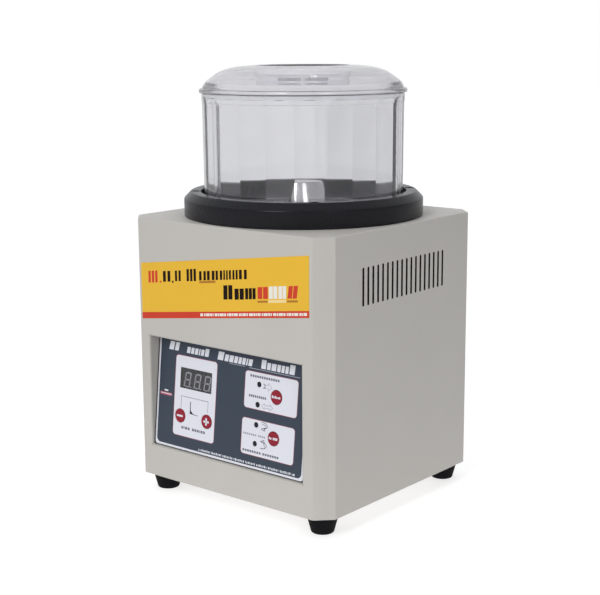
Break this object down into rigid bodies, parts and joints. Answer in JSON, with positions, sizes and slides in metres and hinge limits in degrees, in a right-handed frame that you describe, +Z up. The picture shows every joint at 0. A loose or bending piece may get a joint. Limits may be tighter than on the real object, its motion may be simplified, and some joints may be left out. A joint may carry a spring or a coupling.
{
  "type": "magnetic tumbler",
  "caption": "Benchtop magnetic tumbler: chamfered sheet-metal cabinet with a sloped keypad, a spinning magnet disc, and a clear faceted bowl and lid in a black tray.",
  "frame": {"origin": "middle of the machine's overall box, on the ground under the feet", "axes": "+Z up through the bowl, +X to the machine's left-hand side as it faces its user, -Y towards the user"},
  "size_m": [0.225, 0.227, 0.3848],
  "materials": {
    "case": "satin powder coat",
    "black_plastic": "moulded satin",
    "rubber": "matt",
    "steel": "zinc plated",
    "stainless": "polished",
    "alu": "machined",
    "brass": "turned",
    "copper": "enamelled copper wire",
    "film": "printed membrane film",
    "label": "printed vinyl",
    "key_red": "satin",
    "smoke": "smoked acrylic",
    "segment": "unlit",
    "clear": "clear moulded polycarbonate",
    "board": "circuit laminate",
    "laminate": "varnished laminations",
    "ferrite": "sintered",
    "magnet": "nickel plated"
  },
  "bodies": {
    "cabinet": {"housing": "case", "base_plate": "case", "base_screws": "steel", "feet": "rubber", "foot_screws": "steel", "rear_panel": "case", "rear_screws": "steel", "label": "label", "recess_frame": "case", "recess_rails": "case", "control_plate": "case", "overlay": "film", "display_window": "smoke", "display_block": "black_plastic", "digits": "segment", "lamps": "black_plastic", "key_switches": "black_plastic", "control_board": "board", "board_spacers": "brass", "board_screws": "steel", "board_parts": "black_plastic", "tray": "black_plastic", "tray_screws": "steel", "motor_plate": "steel", "plate_spacers": "alu", "spacer_screws": "steel", "motor_screws": "steel", "motor_case": "laminate", "motor_caps": "alu", "bearings": "steel", "field_magnets": "ferrite", "brushes": "brass", "transformer_core": "laminate", "transformer_coil": "copper", "power_board": "board", "power_spacers": "brass", "power_parts": "black_plastic", "inlet_body": "black_plastic", "inlet_pins": "brass", "fuse_drawer": "black_plastic"},
    "rotor": {"shaft": "steel", "armature": "laminate", "windings": "copper", "commutator": "copper", "fan": "black_plastic", "hub": "alu", "hub_screws": "steel", "magnet_disc": "alu", "magnets": "magnet"},
    "bowl": {"bowl": "clear", "bowl_post": "stainless"},
    "lid": {"lid": "clear"},
    "minus_key": {"key_minus": "key_red"},
    "plus_key": {"key_plus": "key_red"},
    "select_key": {"key_select": "key_red"},
    "run_key": {"key_run": "key_red"},
    "mains_rocker": {"rocker": "key_red"}
  },
  "joints": [
    {"name": "rotor_spin", "type": "hinge", "parent": "cabinet", "child": "rotor", "pos_m": [0, -0.00268, 0.2034], "axis": [0, 0, 1], "continuous": true},
    {"name": "bowl_lift", "type": "slide", "parent": "cabinet", "child": "bowl", "axis": [0, 0, 1], "range_m": [0, 0.15]},
    {"name": "lid_lift", "type": "slide", "parent": "bowl", "child": "lid", "axis": [0, 0, 1], "range_m": [0, 0.12]},
    {"name": "minus_press", "type": "slide", "parent": "cabinet", "child": "minus_key", "axis": [0, 0.9948, -0.1021], "range_m": [0, 0.0005], "stiffness_N_per_m": 300},
    {"name": "plus_press", "type": "slide", "parent": "cabinet", "child": "plus_key", "axis": [0, 0.9948, -0.1021], "range_m": [0, 0.0005], "stiffness_N_per_m": 300},
    {"name": "select_press", "type": "slide", "parent": "cabinet", "child": "select_key", "axis": [0, 0.9948, -0.1021], "range_m": [0, 0.0005], "stiffness_N_per_m": 300},
    {"name": "run_press", "type": "slide", "parent": "cabinet", "child": "run_key", "axis": [0, 0.9948, -0.1021], "range_m": [0, 0.0005], "stiffness_N_per_m": 300},
    {"name": "rocker_tip", "type": "hinge", "parent": "cabinet", "child": "mains_rocker", "pos_m": [0.048, 0.10782, 0.1014], "axis": [1, 0, 0], "range_deg": [-14, 0]}
  ]
}
